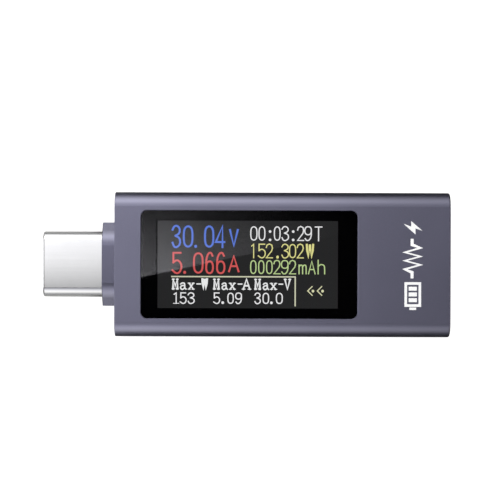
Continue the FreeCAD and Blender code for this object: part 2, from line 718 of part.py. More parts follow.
def socket_shell():
    """Open tube with four bent legs that go down through the board."""
    opening = bar_x(grow(SHELL_X, 1), OPENING_W, OPENING_H)
    shell = bar_x(SHELL_X, SOCKET_W, SOCKET_H).cut(opening)
    shell = shell.makeChamfer(0.10, edges_at(shell, X, SHELL_X[1]))
    leg_y, leg_top = 5.57, PCB_TOP + 0.27
    legs = []
    for side in SIDES:
        for x in SOCKET_LEG_XS:
            leg_x = around(x, 0.45)
            legs.append(box(leg_x, (side * 4.25, side * leg_y), (PCB_TOP + 0.02, leg_top)))
            legs.append(box(leg_x, (side * 5.32, side * leg_y), (PCB_BOT - 0.45, leg_top)))
    return fuse(shell, *legs).cut(opening)     # clears the legs out of the opening


def socket_insulator():
    """Block and tongue, slotted for the mid plate, notched for latches, grooved for contacts."""
    block = bar_x((SHELL_X[0] + 0.02, ROOT_X), OPENING_W - 0.04, OPENING_H - 0.04)
    tongue = box((ROOT_X - 0.2, TIP_X), around(0, TONGUE_HALF), around(CONN_Z, 0.30))
    tongue = tongue.makeChamfer(0.12, edges_at(tongue, X, TIP_X))
    thick_root = box((ROOT_X - 0.1, ROOT_X + 0.9), around(0, TONGUE_HALF), around(CONN_Z, 0.55))
    tools = [box(MID_PLATE_X, around(0, 3.6), MID_PLATE_Z)]
    for side in SIDES:
        tools.append(box((TIP_X - 1.35, TIP_X - 0.65), (side * 3.10, side * 3.6),
                         around(CONN_Z, 1)))
    for y in CONTACT_YS:
        for side in SIDES:
            tools.append(box((SHELL_X[0] - 1, ROOT_X + 1.0), around(y, 0.15),
                             from_mid(side, 0.30, 0.44)))
    return fuse(block, tongue, thick_root).cut(tools)


def socket_mid_plate():
    mid_plate = box(MID_PLATE_X, around(0, 3.20), MID_PLATE_Z)
    for side in SIDES:
        mid_plate = mid_plate.cut(box((TIP_X - 1.40, TIP_X - 0.60), (side * 3.05, side * 3.6),
                                      around(CONN_Z, 1)))
    return mid_plate


save("socket_shell", socket_shell())
save("socket_insulator", socket_insulator())
save("socket_mid_plate", socket_mid_plate())
save("socket_contacts_upper", *contact_row(SOCKET_STRIP, thickness=0.11, width=0.24, side=1))
save("socket_contacts_lower", *contact_row(SOCKET_STRIP, thickness=0.11, width=0.24, side=-1))
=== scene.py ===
# A small inline power meter: an anodised sleeve lying along X, with the plug at the -X end,
# the socket at the +X end and the display facing +Z. Shaders and stage sizes are in metres;
# the display and the printed symbols are laid out in millimetres or display dots.
import json
import math
from itertools import count

import bmesh
import bpy
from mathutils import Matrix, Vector

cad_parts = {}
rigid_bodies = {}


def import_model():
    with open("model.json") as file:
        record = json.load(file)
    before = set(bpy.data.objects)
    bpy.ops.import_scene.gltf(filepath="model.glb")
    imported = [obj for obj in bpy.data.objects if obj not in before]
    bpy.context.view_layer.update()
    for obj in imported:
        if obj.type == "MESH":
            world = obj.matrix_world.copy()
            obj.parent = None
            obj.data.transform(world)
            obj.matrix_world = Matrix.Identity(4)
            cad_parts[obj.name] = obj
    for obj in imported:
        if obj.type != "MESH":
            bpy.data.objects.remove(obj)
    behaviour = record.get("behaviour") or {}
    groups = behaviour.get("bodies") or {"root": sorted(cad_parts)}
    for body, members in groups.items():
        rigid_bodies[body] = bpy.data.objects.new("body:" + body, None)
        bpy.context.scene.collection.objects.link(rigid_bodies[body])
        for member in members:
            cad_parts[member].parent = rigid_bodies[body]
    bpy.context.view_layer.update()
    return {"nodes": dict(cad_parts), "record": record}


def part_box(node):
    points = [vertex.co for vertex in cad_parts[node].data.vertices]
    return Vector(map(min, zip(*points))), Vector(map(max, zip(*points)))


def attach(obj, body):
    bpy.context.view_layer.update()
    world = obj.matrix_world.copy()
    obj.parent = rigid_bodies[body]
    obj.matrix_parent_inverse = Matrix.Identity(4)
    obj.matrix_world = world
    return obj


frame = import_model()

NODES = frame["nodes"]
MM = 0.001
scene = bpy.context.scene


# ------------------------------------------------------------------ node helpers
def scaled(colour, factor):
    return tuple(min(1.0, channel * factor) for channel in colour)


class Nodes:
    """Builds the node tree of one material or world."""

    def __init__(self, owner, output="OutputMaterial"):
        self.owner = owner
        owner.use_nodes = True
        self.tree = owner.node_tree
        self.tree.nodes.clear()
        self.end = self.node(output)

    def feed(self, socket, value):
        """Link a socket, or set a plain value."""
        if isinstance(value, bpy.types.NodeSocket):
            self.tree.links.new(value, socket)
            return
        if socket.type == "RGBA" and len(value) == 3:
            value = (*value, 1.0)
        socket.default_value = value

    def node(self, kind, *values, settings=None, **inputs):
        """Add a node; inputs are given by position, or by name with _ for a space."""
        made = self.tree.nodes.new("ShaderNode" + kind)
        for name, value in (settings or {}).items():
            setattr(made, name, value)
        for index, value in enumerate(values):
            self.feed(made.inputs[index], value)
        for name, value in inputs.items():
            self.feed(made.inputs[name.replace("_", " ")], value)
        return made

    def output(self, kind, *values, **inputs):
        """Add a node and return its first output."""
        return self.node(kind, *values, **inputs).outputs[0]

    def object_coords(self, scale=(1.0, 1.0, 1.0)):
        coords = self.node("TexCoord").outputs["Object"]
        return self.output("Mapping", Vector=coords, Scale=scale)

    def noise(self, scale, detail=3.0, roughness=0.55, vector=None):
        if vector is None:
            vector = self.object_coords()
        return self.output("TexNoise", Scale=scale, Detail=detail, Roughness=roughness,
                           Vector=vector)

    def remap(self, value, span=(0.0, 1.0), to=(0.0, 1.0)):
        return self.output("MapRange", Value=value, From_Min=span[0], From_Max=span[1],
                           To_Min=to[0], To_Max=to[1])

    def mix(self, factor, first, second):
        mixer = self.node("Mix", settings={"data_type": "RGBA"})
        # the colour sockets of a Mix node are inputs 6 and 7, output 2
        for index, value in ((0, factor), (6, first), (7, second)):
            self.feed(mixer.inputs[index], value)
        return mixer.outputs[2]

    def shades(self, factor, base, dark, light):
        """The base colour, drifting between a darker and a lighter shade."""
        return self.mix(factor, scaled(base, dark), scaled(base, light))

    def math(self, operation, *values):
        return self.output("Math", *values, settings={"operation": operation})

    def bump(self, height, strength, distance=0.00002, **normal):
        return self.output("Bump", Height=height, Strength=strength, Distance=distance, **normal)

    def split(self, vector):
        """The x, y and z of a vector."""
        return self.node("SeparateXYZ", vector).outputs

    def ramp(self, value, stops):
        """Colour ramp over stops of (position, grey level or colour)."""
        ramp = self.node("ValToRGB", value)
        elements = ramp.color_ramp.elements
        full = [(place, (*level, 1.0) if isinstance(level, tuple) else (level, level, level, 1.0))
                for place, level in stops]
        elements[0].position, elements[0].color = full[0]
        elements[1].position, elements[1].color = full[-1]
        for place, colour in full[1:-1]:
            elements.new(place).color = colour
        return ramp.outputs[0]

    def front_only(self, geometry, shader):
        """Show the shader on front faces and leave back faces clear."""
        return self.output("MixShader", geometry.outputs["Backfacing"], shader,
                           self.output("BsdfTransparent"))

    def finish(self, shader):
        self.feed(self.end.inputs["Surface"], shader)
        return self.owner


def new_material(name):
    return Nodes(bpy.data.materials.new(name))


# ------------------------------------------------------------------ part materials
def anodised(name, base, roughness=0.36):
    """Bead-blasted, dyed anodise: fine peaks and a faint colour drift."""
    mat = new_material(name)
    drift = mat.noise(scale=90.0, detail=2.0)
    grain = mat.noise(scale=5200.0, detail=2.0, roughness=0.6)
    cells = mat.output("TexVoronoi", Scale=8200.0, Vector=mat.object_coords())
    colour = mat.shades(mat.remap(drift, span=(0.35, 0.65)), base, dark=0.965, light=1.035)
    peaks = mat.remap(grain, span=(0.4, 0.7), to=(0.0, 0.35))
    colour = mat.mix(peaks, colour, scaled(base, 1.10))
    gloss = mat.remap(grain, span=(0.3, 0.7), to=(roughness - 0.025, roughness + 0.03))
    normal = mat.bump(cells, strength=0.10)
    normal = mat.bump(grain, strength=0.08, Normal=normal)
    # painted light: upright walls and the underside are made less metallic than the face by their
    # direction alone, so their diffuse part shows lighter than the dark floor reflection would
    # leave them
    up = mat.split(mat.node("NewGeometry").outputs["Normal"])[2]
    upright = mat.remap(mat.math("ABSOLUTE", up), span=(0.03, 0.16), to=(1.0, 0.0))
    below = mat.remap(up, span=(-0.16, -0.6))
    painted_wall_light = mat.math("MAXIMUM", upright, below)
    return mat.finish(mat.output(
        "BsdfPrincipled", Base_Color=colour, Metallic=mat.remap(painted_wall_light, to=(1.0, 0.35)),
        Roughness=gloss, Normal=normal, Coat_Weight=0.35, Coat_Roughness=0.30, Coat_IOR=1.5))


def bright_metal(name, base, roughness=0.14, grain_scale=(60.0, 3500.0, 3500.0), bump=0.04,
                 smudge=0.042, spread=0.04, edge_shade=1.0):
    """Plated or stamped sheet: drawing lines along X and soft handling marks.

    smudge and spread are the roughness added by marks and varied by lines;
    edge_shade below 1 is painted shade: it darkens the colour of the turned edges.
    """
    mat = new_material(name)
    lines = mat.noise(scale=1.0, roughness=0.6, vector=mat.object_coords(grain_scale))
    marks = mat.noise(scale=420.0, detail=4.0, roughness=0.6)
    colour = mat.shades(mat.remap(marks, span=(0.35, 0.75)), base, dark=0.975, light=1.02)
    if edge_shade < 1.0:
        # painted shade: bands sloping towards -Y and towards +Y get a darker colour than the
        # flats, standing in for the darker reflection along the edges; their blue is lifted a
        # little so the light's warm tint does not turn them yellow
        side = mat.split(mat.node("NewGeometry").outputs["Normal"])[1]
        turn = mat.math("MULTIPLY", side, -1.0)
        shade_minus_y = mat.math("MULTIPLY", mat.remap(turn, span=(0.01, 0.13)),
                           mat.remap(turn, span=(0.60, 0.92), to=(1.0, 0.0)))
        shade_plus_y = mat.math("MULTIPLY", mat.remap(side, span=(0.30, 0.60), to=(0.0, 0.7)),
                          mat.remap(side, span=(0.75, 0.95), to=(1.0, 0.0)))
        red, green, blue = (channel * edge_shade for channel in base)
        shade_blue_lift = 1.07
        colour = mat.mix(mat.math("MAXIMUM", shade_minus_y, shade_plus_y), colour,
                         (red, green, blue * shade_blue_lift))
    gloss = mat.math(
        "ADD",
        mat.remap(lines, span=(0.3, 0.7), to=(roughness - spread, roughness + spread)),
        mat.remap(marks, span=(0.45, 0.8), to=(0.0, smudge)))
    normal = mat.bump(lines, strength=bump, distance=0.00001)
    return mat.finish(mat.output("BsdfPrincipled", Base_Color=colour, Metallic=1.0,
                                 Roughness=gloss, Normal=normal))


def moulded(name, base, roughness=0.45, texture_scale=2600.0, bump=0.12, specular=0.5,
            coat=0.0, **more):
    """Moulded plastic: spark-eroded texture and slight sheen variation."""
    mat = new_material(name)
    texture = mat.noise(scale=texture_scale, roughness=0.65)
    flow = mat.noise(scale=140.0, detail=2.0)
    colour = mat.shades(mat.remap(flow, span=(0.3, 0.7)), base, dark=0.88, light=1.15)
    gloss = mat.remap(texture, span=(0.3, 0.7), to=(roughness - 0.05, roughness + 0.07))
    return mat.finish(mat.output(
        "BsdfPrincipled", Base_Color=colour, Roughness=gloss,
        Normal=mat.bump(texture, strength=bump), Specular_IOR_Level=specular,
        Coat_Weight=coat, Coat_Roughness=0.1, **more))


def fresnel(mat, head_on):
    """Fresnel factor for a surface that reflects the share head_on when seen square on."""
    index = (1 + math.sqrt(head_on)) / (1 - math.sqrt(head_on))
    return mat.output("Fresnel", IOR=index)


def smears(mat, roughness):
    """Roughness of polished glass, between two levels in faint smears."""
    return mat.remap(mat.noise(scale=160.0), span=(0.4, 0.75), to=roughness)


def thin_glass(name, tint):
    """Polished sheet drawn as a clear film plus its surface reflection, on front faces only."""
    mat = new_material(name)
    film = mat.output("BsdfTransparent", Color=tint)
    gloss = mat.output("BsdfGlossy", Roughness=smears(mat, roughness=(0.006, 0.014)))
    sheet = mat.output("MixShader", fresnel(mat, head_on=0.04), film, gloss)
    return mat.finish(mat.front_only(mat.node("NewGeometry"), sheet))


def cover_glass(name):
    """Clear, barely uneven tint; the layers bonded below it draw its reflection."""
    mat = new_material(name)
    tint = mat.mix(mat.noise(scale=220.0), (0.972, 0.978, 0.980), (0.988, 0.992, 0.994))
    return mat.finish(mat.output("BsdfTransparent", Color=tint))


def with_sheen(mat, shader, head_on):
    """Add a glass reflection that rises towards grazing angles."""
    sheen = mat.output("BsdfGlossy", Color=fresnel(mat, head_on),
                       Roughness=smears(mat, roughness=(0.012, 0.020)))
    return mat.output("AddShader", shader, sheen)


def black_print(name, base):
    """Black layer bonded under the cover glass, seen with the glass's reflection."""
    mat = new_material(name)
    colour = mat.shades(mat.noise(scale=900.0), base, dark=0.7, light=1.3)
    return mat.finish(with_sheen(mat, mat.output("BsdfDiffuse", Color=colour), head_on=0.043))


def board_mask(name, base):
    """Solder mask over copper: paler tracks in a routed pattern under a glossy coat."""
    mat = new_material(name)
    black, white = (0, 0, 0), (1, 1, 1)
    bricks = mat.node("TexBrick", settings={"offset": 0.5}, Scale=620.0, Mortar_Size=0.13,
                      Mortar_Smooth=0.1, Color1=black, Color2=black, Mortar=white,
                      Vector=mat.object_coords())
    pour = mat.remap(mat.noise(scale=190.0, detail=1.0), span=(0.46, 0.54))
    track = mat.math("MULTIPLY", bricks.outputs["Fac"], pour)
    return mat.finish(mat.output(
        "BsdfPrincipled", Base_Color=mat.mix(track, base, scaled(base, 1.9)),
        Roughness=mat.remap(mat.noise(scale=1500.0), to=(0.28, 0.42)),
        Normal=mat.bump(track, strength=0.4, distance=0.00004),
        Coat_Weight=0.4, Coat_Roughness=0.2))


def fired_ceramic(name, base):
    """The fired body of a chip part."""
    mat = new_material(name)
    texture = mat.noise(scale=2500.0)
    return mat.finish(mat.output(
        "BsdfPrincipled", Base_Color=mat.shades(texture, base, dark=0.85, light=1.15),
        Roughness=mat.remap(texture, to=(0.4, 0.55)), Normal=mat.bump(texture, strength=0.15)))


BASE_METAL = (0.250, 0.247, 0.353)

# material slot: (builder, its arguments)
SLOT_LOOKS = {
    "anodised_aluminium": (anodised, dict(base=BASE_METAL)),
    "black_nylon": (moulded, dict(base=(0.022, 0.022, 0.024), roughness=0.42)),
    "clear_glass": (cover_glass, {}),
    "black_ink": (black_print, dict(base=(0.0018, 0.0018, 0.0022))),
    "black_adhesive": (moulded, dict(base=(0.02, 0.02, 0.02), roughness=0.7,
                                     texture_scale=1500.0)),
    "panel_glass": (thin_glass, dict(tint=(0.9, 0.92, 0.92))),
    "polariser_film": (black_print, dict(base=(0.004, 0.004, 0.005))),
    "black_foam": (moulded, dict(base=(0.02, 0.02, 0.021), roughness=0.9,
                                 texture_scale=5200.0, bump=0.6, specular=0.1)),
    "silicon": (moulded, dict(base=(0.10, 0.10, 0.13), roughness=0.12,
                              texture_scale=900.0, bump=0.02, specular=0.8)),
    "polyimide": (moulded, dict(base=(0.52, 0.22, 0.03), roughness=0.28,
                                texture_scale=700.0, bump=0.03, coat=0.3)),
    "white_plastic": (moulded, dict(base=(0.74, 0.74, 0.72), roughness=0.4)),
    "clear_acrylic": (thin_glass, dict(tint=(0.96, 0.97, 0.97))),
    "white_film": (moulded, dict(base=(0.8, 0.8, 0.8), roughness=0.5,
                                 texture_scale=1200.0, bump=0.03)),
    "led_package": (moulded, dict(base=(0.85, 0.78, 0.35), roughness=0.35,
                                  texture_scale=1800.0, bump=0.05)),
    "board_laminate": (board_mask, dict(base=(0.006, 0.085, 0.035))),
    "chip_epoxy": (moulded, dict(base=(0.03, 0.03, 0.032), roughness=0.5,
                                 texture_scale=4200.0, bump=0.15)),
    "shunt_alloy": (bright_metal, dict(base=(0.50, 0.44, 0.38), roughness=0.3)),
    "ferrite": (moulded, dict(base=(0.07, 0.07, 0.075), roughness=0.65,
                              texture_scale=3800.0, bump=0.35)),
    "tinned_can": (bright_metal, dict(base=(0.72, 0.71, 0.68), roughness=0.25)),
    "capacitor_ceramic": (fired_ceramic, dict(base=(0.40, 0.25, 0.14))),
    "resistor_ceramic": (fired_ceramic, dict(base=(0.045, 0.045, 0.05))),
    "button_plastic": (moulded, dict(base=(0.085, 0.085, 0.115), roughness=0.40,
                                     texture_scale=3200.0, bump=0.10)),
    "steel": (bright_metal, dict(base=(0.62, 0.62, 0.61), roughness=0.24)),
    "switch_stem_plastic": (moulded, dict(base=(0.72, 0.68, 0.55), roughness=0.35)),
    "tinned_copper": (bright_metal, dict(base=(0.70, 0.66, 0.60), roughness=0.3)),
    # the plug's sloping edges get painted shade, a darker colour, through the edge shade factor
    "bright_steel": (bright_metal, dict(base=(0.93, 0.93, 0.95), roughness=0.115,
                                        grain_scale=(50.0, 2600.0, 2600.0), bump=0.004,
                                        smudge=0.0096, spread=0.012, edge_shade=0.60)),
    "gold_plate": (bright_metal, dict(base=(0.90, 0.62, 0.24), roughness=0.18)),
}
MATERIALS = {slot: build(slot, **look) for slot, (build, look) in SLOT_LOOKS.items()}
# The plug's end cap uses a glossier copy of the sleeve's anodise; its darker colour is painted
# shade, standing in for the dimmer light around the collar.
SHADED_END_CAP = anodised("anodised_end_cap_shaded", scaled(BASE_METAL, 0.76), roughness=0.24)

for part in frame["record"]["subparts"]:
    slots = NODES[part["node"]].data.materials
    slots.clear()
    is_cap = part["node"] == "plug_end_cap"
    slots.append(SHADED_END_CAP if is_cap else MATERIALS[part["material_slot"]])


# ------------------------------------------------------------------ flat mesh helpers
def new_piece(name, bm, material):
    bmesh.ops.recalc_face_normals(bm, faces=bm.faces[:])
    mesh = bpy.data.meshes.new(name)
    bm.to_mesh(mesh)
    bm.free()
    piece = bpy.data.objects.new(name, mesh)
    scene.collection.objects.link(piece)
    mesh.materials.append(material)
    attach(piece, "housing")


def smooth_line(points, closed, rounds):
    """Corner cutting, keeping the ends of an open line."""
    line = [Vector(point) for point in points]
    for _ in range(rounds):
        cut = []
        last = len(line) - 1
        for i in range(last + 1 if closed else last):
            start, end = line[i], line[(i + 1) % len(line)]
            cut.append(start * 0.75 + end * 0.25 if closed or i > 0 else start)
            cut.append(start * 0.25 + end * 0.75 if closed or i < last - 1 else end)
        line = cut
    return line


def ribbon(bm, points, width, place, low, high, closed=False):
    """A flat stroke with mitred corners and square ends, between heights low and high.

    place turns layout x, y and a height into a position.
    """
    mitre_limit = 0.55
    total = len(points)
    sections = []
    for i, point in enumerate(points):
        directions = []
        if closed or i > 0:
            directions.append((point - points[i - 1]).normalized())
        if closed or i < total - 1:
            directions.append((points[(i + 1) % total] - point).normalized())
        normals = [Vector((-direction.y, direction.x)) for direction in directions]
        across = sum(normals, Vector((0.0, 0.0))).normalized()
        offset = across * (width / 2 / max(mitre_limit, across.dot(normals[0])))
        centre = point
        if not closed and i in (0, total - 1):
            # run on past an open end by half the width
            centre = point + directions[0] * (width / 2) * (-1 if i == 0 else 1)
        left, right = centre + offset, centre - offset
        sections.append([bm.verts.new(place(side.x, side.y, height)) for side, height in
                         ((left, high), (right, high), (right, low), (left, low))])
    for i in range(total if closed else total - 1):
        here, there = sections[i], sections[(i + 1) % total]
        for k in range(4):
            bm.faces.new((here[k], here[(k + 1) % 4], there[(k + 1) % 4], there[k]))
    if not closed:
        bm.faces.new(sections[0])
        bm.faces.new(sections[-1][::-1])


def prism(bm, outline, place, low, high):
    """A filled outline between two heights."""
    top = [bm.verts.new(place(x, y, high)) for x, y in outline]
    bottom = [bm.verts.new(place(x, y, low)) for x, y in outline]
    bm.faces.new(top)
    bm.faces.new(bottom[::-1])
    for i in range(len(outline)):
        k = (i + 1) % len(outline)
        bm.faces.new((top[i], bottom[i], bottom[k], top[k]))


# ------------------------------------------------------------------ display
# The readout is laid out in display dots: x along +X, y from the top edge towards -Y.
DOTS_X, DOTS_Y = 160.0, 80.0
ACTIVE_LEFT, ACTIVE_RIGHT = -15.591, 6.907      # lit area, mm
ACTIVE_HALF_HEIGHT = 5.454
DOT_X = (ACTIVE_RIGHT - ACTIVE_LEFT) / DOTS_X
DOT_Y = 2 * ACTIVE_HALF_HEIGHT / DOTS_Y
_, polariser_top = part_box("lcd_polariser")
SCREEN_Z = polariser_top.z / MM

# Heights over the polariser, mm. Strokes step in height so that crossings do not coincide.
BACKLIGHT_LOW, BACKLIGHT_HIGH = 0.001, 0.006
STROKE_LOW, STROKE_HIGH = 0.008, 0.016
POINT_LOW, POINT_HIGH = 0.01, 0.02
LAYER_STEP = 0.0006

CELL_PITCH = 0.14               # colour cell pitch in the display's shaders, mm
PANEL_REFLECTION = 0.070        # head-on reflection of the glass over lit areas
BACKLIGHT_LEVEL = 0.02368


def screen(x, y, height):
    return Vector(((ACTIVE_LEFT + x * DOT_X) * MM, (ACTIVE_HALF_HEIGHT - y * DOT_Y) * MM,
                   (SCREEN_Z + height) * MM))


def cell_fraction(mat, position, pitch):
    """Place within a repeating cell, 0 to 1; a metre is added to keep it positive."""
    return mat.math("FRACT", mat.math("DIVIDE", mat.math("ADD", position, 1.0), pitch))


def backlit_panel(name):
    """Unlit cells: faint red, green and blue columns over a slightly uneven backlight."""
    mat = new_material(name)
    position = mat.split(mat.node("TexCoord").outputs["Object"])
    across = cell_fraction(mat, position[0], CELL_PITCH * MM)
    down = cell_fraction(mat, position[1], CELL_PITCH * MM)
    # dark gaps between the columns and between the rows
    in_column = mat.math("GREATER_THAN",
                         mat.math("FRACT", mat.math("MULTIPLY", across, 3.0)), 0.16)
    in_row = mat.math("GREATER_THAN", down, 0.10)
    lit = mat.math("MULTIPLY", in_column, in_row)
    # column number within the cell: 0 red, 1 green, 2 blue
    third = mat.math("FLOOR", mat.math("MULTIPLY", across, 3.0))
    is_red = mat.math("LESS_THAN", third, 0.5)
    is_blue = mat.math("GREATER_THAN", third, 1.5)
    glow = mat.remap(mat.noise(scale=60.0, detail=1.0), to=(0.95, 1.05))
    red, green, blue = (1.18, 0.93, 0.92), (0.85, 1.12, 0.92), (0.95, 0.93, 1.22)
    colour = mat.mix(is_blue, mat.mix(is_red, green, red), blue)
    strength = mat.math("MULTIPLY", mat.math("MULTIPLY", glow, BACKLIGHT_LEVEL),
                        mat.remap(lit, to=(0.45, 1.0)))
    light = mat.output("Emission", Color=colour, Strength=strength)
    return mat.finish(with_sheen(mat, light, PANEL_REFLECTION))


def lit_ink(name, colour):
    """Lit display cells: flat light with the same fine column structure."""
    mat = new_material(name)
    position = mat.split(mat.node("TexCoord").outputs["Object"])
    across = cell_fraction(mat, position[0], CELL_PITCH * MM / 3.0)
    down = cell_fraction(mat, position[1], CELL_PITCH * MM)
    # dark gaps between the columns and between the rows
    lit = mat.math("MULTIPLY", mat.math("GREATER_THAN", across, 0.12),
                   mat.math("GREATER_THAN", down, 0.08))
    light = mat.output("Emission", Color=colour, Strength=mat.remap(lit, to=(0.72, 1.06)))
    return mat.finish(with_sheen(mat, light, PANEL_REFLECTION))


# Strokes in a unit box, x right and y up: (points, closed, rounds of corner cutting)
GLYPHS = {
    "0": [([(0.5, 1.0), (0.86, 0.92), (1.0, 0.72), (1.0, 0.28), (0.86, 0.08), (0.5, 0.0),
            (0.14, 0.08), (0.0, 0.28), (0.0, 0.72), (0.14, 0.92)], True, 1)],
    "1": [([(0.0, 0.86), (0.75, 1.0), (0.75, 0.0)], False, 0)],
    "2": [([(0.0, 0.76), (0.12, 0.94), (0.5, 1.02), (0.88, 0.94), (1.0, 0.72), (0.86, 0.5),
            (0.0, 0.0), (1.0, 0.0)], False, 0)],
    "3": [([(0.0, 0.82), (0.2, 0.98), (0.55, 1.02), (0.95, 0.9), (0.95, 0.66), (0.4, 0.53)],
           False, 1),
          ([(0.4, 0.53), (0.97, 0.42), (1.03, 0.14), (0.6, -0.02), (0.2, 0.0), (0.0, 0.2)],
           False, 1)],
    "4": [([(0.78, 0.0), (0.78, 1.0), (0.0, 0.24), (1.0, 0.24)], False, 0)],
    "5": [([(0.92, 1.0), (0.1, 1.0), (0.1, 0.56)], False, 0),
          ([(0.1, 0.52), (0.5, 0.66), (0.95, 0.52), (1.05, 0.26), (0.8, 0.02), (0.4, -0.02),
            (0.0, 0.14)], False, 1)],
    "6": [([(0.92, 0.86), (0.72, 1.02), (0.3, 0.98), (0.0, 0.7), (0.0, 0.2)], False, 1),
          ([(0.0, 0.42), (0.0, 0.14), (0.25, 0.0), (0.75, 0.0), (1.0, 0.16), (1.0, 0.42),
            (0.75, 0.58), (0.25, 0.58)], True, 1)],
    "9": [([(0.06, 0.14), (0.28, -0.02), (0.7, 0.02), (1.0, 0.3), (1.0, 0.8)], False, 1),
          ([(1.0, 0.58), (1.0, 0.86), (0.75, 1.0), (0.25, 1.0), (0.0, 0.84), (0.0, 0.58),
            (0.25, 0.42), (0.75, 0.42)], True, 1)],
    "V": [([(0.0, 1.0), (0.5, 0.0), (1.0, 1.0)], False, 0)],
    "A": [([(0.0, 0.0), (0.5, 1.0), (1.0, 0.0)], False, 0),
          ([(0.2, 0.34), (0.8, 0.34)], False, 0)],
    "T": [([(0.0, 1.0), (1.0, 1.0)], False, 0), ([(0.5, 0.95), (0.5, 0.0)], False, 0)],
    "W": [([(0.0, 1.0), (0.06, 0.55), (0.25, 0.0), (0.46, 0.95), (0.54, 0.95), (0.75, 0.0),
            (0.94, 0.55), (1.0, 1.0)], False, 0)],
    "m": [([(0.0, 1.0), (0.0, 0.0)], False, 0),
          ([(0.0, 0.78), (0.18, 1.0), (0.42, 0.98), (0.5, 0.8), (0.5, 0.0)], False, 1),
          ([(0.5, 0.78), (0.68, 1.0), (0.92, 0.98), (1.0, 0.8), (1.0, 0.0)], False, 1)],
    "h": [([(0.0, 1.0), (0.0, 0.0)], False, 0),
          ([(0.0, 0.55), (0.4, 0.70), (0.9, 0.64), (1.0, 0.44), (1.0, 0.0)], False, 1)],
    "a": [([(0.05, 0.84), (0.3, 1.02), (0.68, 1.0), (0.78, 0.8), (0.78, 0.2), (1.02, 0.02)],
           False, 1),
          ([(0.78, 0.62), (0.2, 0.58), (-0.02, 0.3), (0.15, 0.0), (0.5, -0.02), (0.78, 0.22)],
           False, 1)],
    "x": [([(0.12, 1.0), (0.88, 0.0)], False, 0), ([(0.88, 1.0), (0.12, 0.0)], False, 0)],
    "-": [([(0.0, 0.5), (1.0, 0.5)], False, 0)],
    "<": [([(1.0, 1.0), (0.0, 0.5), (1.0, 0.0)], False, 0)],
    "M": [([(0.08, 0.0), (0.08, 1.0), (0.5, 0.3), (0.92, 1.0), (0.92, 0.0)], False, 0)],
}
# Slab serifs in the same unit box: (left, right, height)
SERIFS = {
    "M": [(-0.02, 0.24, 1.0), (0.76, 1.02, 1.0), (-0.04, 0.28, 0.0), (0.72, 1.04, 0.0)],
    "V": [(-0.12, 0.26, 1.0), (0.74, 1.12, 1.0)],
    "W": [(-0.08, 0.22, 1.0), (0.78, 1.08, 1.0)],
    "A": [(-0.16, 0.24, 0.0), (0.76, 1.16, 0.0)],
    "x": [(-0.04, 0.36, 1.0), (0.66, 1.04, 1.0), (-0.04, 0.34, 0.0), (0.66, 1.04, 0.0)],
    "1": [(-0.25, 1.75, 0.0)],
}
SERIF_WEIGHT = 0.62             # share of the letter's stroke

# Rows of (character, left, right, top, bottom) in display dots.
VOLTS = [
    ("3", 12.7, 21.0, 4.0, 24.9), ("0", 22.6, 32.0, 4.0, 24.9), (".", 32.7, 35.3, 22.0, 24.9),
    ("0", 41.4, 50.5, 4.0, 24.9), ("4", 51.0, 60.3, 4.0, 24.9), ("V", 63.5, 72.2, 7.5, 23.8)]
AMPS = [
    ("5", 12.7, 22.1, 28.6, 48.7), (".", 23.1, 25.6, 45.8, 48.7), ("0", 31.7, 41.1, 28.6, 48.7),
    ("6", 42.6, 50.2, 28.6, 48.7), ("6", 52.2, 60.4, 28.6, 48.7), ("A", 62.8, 72.9, 31.5, 47.0)]
TIME = [
    ("0", 82.3, 88.8, 4.7, 18.3), ("0", 89.6, 95.8, 4.7, 18.3), (":", 98.7, 101.1, 8.5, 18.5),
    ("0", 103.2, 109.3, 4.7, 18.3), ("3", 110.0, 116.7, 4.7, 18.3),
    (":", 119.2, 121.6, 8.5, 18.5), ("2", 123.8, 130.2, 4.7, 18.3),
    ("9", 130.2, 137.0, 4.7, 18.3), ("T", 139.5, 146.3, 4.9, 18.5)]
POWER = [
    ("1", 83.2, 86.5, 20.8, 34.2), ("5", 89.1, 96.1, 20.8, 34.2), ("2", 96.1, 102.6, 20.8, 34.2),
    (".", 105.4, 107.8, 31.6, 34.4), ("3", 110.0, 116.7, 20.8, 34.2),
    ("0", 116.7, 123.1, 20.8, 34.2), ("2", 123.5, 129.9, 20.8, 34.2),
    ("W", 131.6, 139.0, 20.8, 34.2)]
CHARGE = [
    ("0", 82.3, 88.0, 35.7, 48.8), ("0", 89.4, 95.0, 35.7, 48.8), ("0", 96.4, 102.3, 35.7, 48.8),
    ("2", 102.9, 109.3, 35.7, 48.8), ("9", 109.6, 116.4, 35.7, 48.8),
    ("2", 116.7, 123.1, 35.7, 48.8), ("m", 125.2, 132.5, 39.7, 48.7),
    ("A", 133.6, 140.4, 36.2, 48.7), ("h", 142.1, 148.9, 35.3, 48.7)]
LABELS = [
    ("M", 12.8, 19.3, 52.6, 63.2), ("a", 20.0, 26.1, 56.4, 63.3), ("x", 27.0, 33.3, 56.5, 63.2),
    ("-", 34.8, 39.1, 57.0, 58.6), ("W", 39.1, 45.1, 52.6, 63.2),
    ("M", 49.3, 55.8, 52.6, 63.2), ("a", 56.9, 62.7, 56.4, 63.3), ("x", 63.4, 69.8, 56.5, 63.2),
    ("-", 71.3, 75.6, 57.0, 58.6), ("A", 75.6, 82.8, 52.6, 63.2),
    ("M", 85.8, 92.3, 52.6, 63.2), ("a", 93.4, 99.2, 56.4, 63.3), ("x", 99.8, 106.4, 56.5, 63.2),
    ("-", 107.5, 111.7, 57.0, 58.6), ("V", 112.4, 118.5, 52.6, 63.2)]
